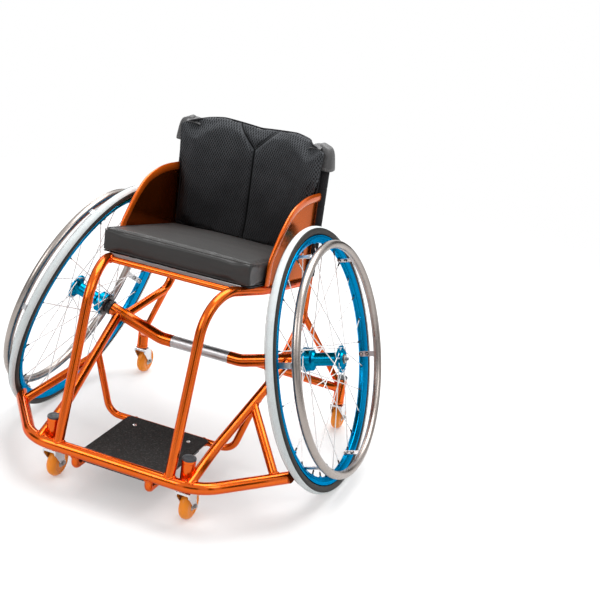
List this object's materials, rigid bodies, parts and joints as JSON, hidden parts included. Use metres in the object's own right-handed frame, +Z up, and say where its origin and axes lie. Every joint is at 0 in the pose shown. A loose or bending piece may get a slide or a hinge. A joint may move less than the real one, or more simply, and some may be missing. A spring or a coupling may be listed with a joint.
{
  "type": "basketball wheelchair",
  "caption": "Rigid sports wheelchair with strongly cambered spoked wheels, push rims, welded bumper frame, swivel casters, footplate and a padded seat and back.",
  "frame": {"origin": "on the floor, at the middle of the chair's footprint; the wheels' axle lies 48 mm behind it", "axes": "+Z up, -Y is the way the chair faces, +X is the sitter's left"},
  "size_m": [0.8998, 0.7596, 0.7847],
  "materials": {
    "frame_paint": "candy orange metallic gloss",
    "guard_paint": "candy orange metallic gloss on a thin plate",
    "sleeve_aluminium": "bare, satin",
    "collar_plastic": "black",
    "axle_steel": "ground",
    "button_metal": "satin",
    "housing_cap_plastic": "black",
    "footplate_grip": "black grip tape on a thin plate",
    "tyre_rubber": "pale tread, dark sidewall",
    "rim_anodised": "blue anodised",
    "hub_anodised": "blue anodised hub, bright spokes",
    "push_rim_metal": "warm grey, satin",
    "fork_aluminium": "satin",
    "caster_urethane": "orange polyurethane, semi-gloss",
    "webbing": "black woven webbing",
    "cushion_leather": "dark grey leatherette",
    "pad_mesh": "black spacer mesh",
    "bolster_leather": "dark grey, soft",
    "post_cap_leather": "dark grey, folded"
  },
  "bodies": {
    "frame": {"front_bumper": "frame_paint", "left_side_frame": "frame_paint", "right_side_frame": "frame_paint", "seat_front_tube": "frame_paint", "left_diagonal": "frame_paint", "right_diagonal": "frame_paint", "left_wing_strut": "frame_paint", "right_wing_strut": "frame_paint", "left_back_post": "frame_paint", "right_back_post": "frame_paint", "left_down_tube": "frame_paint", "right_down_tube": "frame_paint", "left_rear_strut": "frame_paint", "right_rear_strut": "frame_paint", "footplate_support_tube": "frame_paint", "left_footplate_rail": "frame_paint", "right_footplate_rail": "frame_paint", "left_front_housing": "frame_paint", "right_front_housing": "frame_paint", "left_rear_housing": "frame_paint", "right_rear_housing": "frame_paint", "left_axle_arm": "frame_paint", "right_axle_arm": "frame_paint", "left_side_guard": "guard_paint", "right_side_guard": "guard_paint", "axle_sleeve": "sleeve_aluminium", "left_axle_collar": "collar_plastic", "right_axle_collar": "collar_plastic", "left_axle_pin": "axle_steel", "right_axle_pin": "axle_steel", "left_front_cap": "housing_cap_plastic", "right_front_cap": "housing_cap_plastic", "left_rear_cap": "housing_cap_plastic", "right_rear_cap": "housing_cap_plastic", "footplate": "footplate_grip", "seat_sling": "webbing", "back_sling": "webbing", "seat_cushion": "cushion_leather", "back_pad": "pad_mesh", "back_bolster": "bolster_leather", "left_post_cap": "post_cap_leather", "right_post_cap": "post_cap_leather"},
    "left_wheel": {"left_tyre": "tyre_rubber", "left_rim": "rim_anodised", "left_hub_and_spokes": "hub_anodised", "left_push_rim": "push_rim_metal"},
    "right_wheel": {"right_tyre": "tyre_rubber", "right_rim": "rim_anodised", "right_hub_and_spokes": "hub_anodised", "right_push_rim": "push_rim_metal"},
    "left_front_swivel": {"left_front_fork": "fork_aluminium"},
    "right_front_swivel": {"right_front_fork": "fork_aluminium"},
    "left_rear_swivel": {"left_rear_fork": "fork_aluminium"},
    "right_rear_swivel": {"right_rear_fork": "fork_aluminium"},
    "left_front_caster": {"left_front_caster_wheel": "caster_urethane"},
    "right_front_caster": {"right_front_caster_wheel": "caster_urethane"},
    "left_rear_caster": {"left_rear_caster_wheel": "caster_urethane"},
    "right_rear_caster": {"right_rear_caster_wheel": "caster_urethane"},
    "left_button": {"left_release_button": "button_metal"},
    "right_button": {"right_release_button": "button_metal"}
  },
  "joints": [
    {"name": "left_wheel_spin", "type": "hinge", "parent": "frame", "child": "left_wheel", "pos_m": [0.318, 0.048, 0.30706], "axis": [0.9588, 0, 0.284], "continuous": true},
    {"name": "right_wheel_spin", "type": "hinge", "parent": "frame", "child": "right_wheel", "pos_m": [-0.318, 0.048, 0.30706], "axis": [-0.9588, 0, 0.284], "continuous": true},
    {"name": "left_front_swivel_turn", "type": "hinge", "parent": "frame", "child": "left_front_swivel", "pos_m": [0.1705, -0.3385, 0.09], "axis": [0, 0, 1], "continuous": true},
    {"name": "right_front_swivel_turn", "type": "hinge", "parent": "frame", "child": "right_front_swivel", "pos_m": [-0.1705, -0.3385, 0.09], "axis": [0, 0, 1], "continuous": true},
    {"name": "left_rear_swivel_turn", "type": "hinge", "parent": "frame", "child": "left_rear_swivel", "pos_m": [0.2965, 0.318, 0.09], "axis": [0, 0, 1], "continuous": true},
    {"name": "right_rear_swivel_turn", "type": "hinge", "parent": "frame", "child": "right_rear_swivel", "pos_m": [-0.2965, 0.318, 0.09], "axis": [0, 0, 1], "continuous": true},
    {"name": "left_front_caster_spin", "type": "hinge", "parent": "left_front_swivel", "child": "left_front_caster", "pos_m": [0.1705, -0.3115, 0.035], "axis": [1, 0, 0], "continuous": true},
    {"name": "right_front_caster_spin", "type": "hinge", "parent": "right_front_swivel", "child": "right_front_caster", "pos_m": [-0.1705, -0.3115, 0.035], "axis": [1, 0, 0], "continuous": true},
    {"name": "left_rear_caster_spin", "type": "hinge", "parent": "left_rear_swivel", "child": "left_rear_caster", "pos_m": [0.2965, 0.345, 0.035], "axis": [1, 0, 0], "continuous": true},
    {"name": "right_rear_caster_spin", "type": "hinge", "parent": "right_rear_swivel", "child": "right_rear_caster", "pos_m": [-0.2965, 0.345, 0.035], "axis": [1, 0, 0], "continuous": true},
    {"name": "left_button_press", "type": "slide", "parent": "frame", "child": "left_button", "axis": [-0.9588, 0, -0.284], "range_m": [0, 0.004], "stiffness_N_per_m": 300, "springref_m": -0.002},
    {"name": "right_button_press", "type": "slide", "parent": "frame", "child": "right_button", "axis": [0.9588, 0, -0.284], "range_m": [0, 0.004], "stiffness_N_per_m": 300, "springref_m": -0.002}
  ]
}
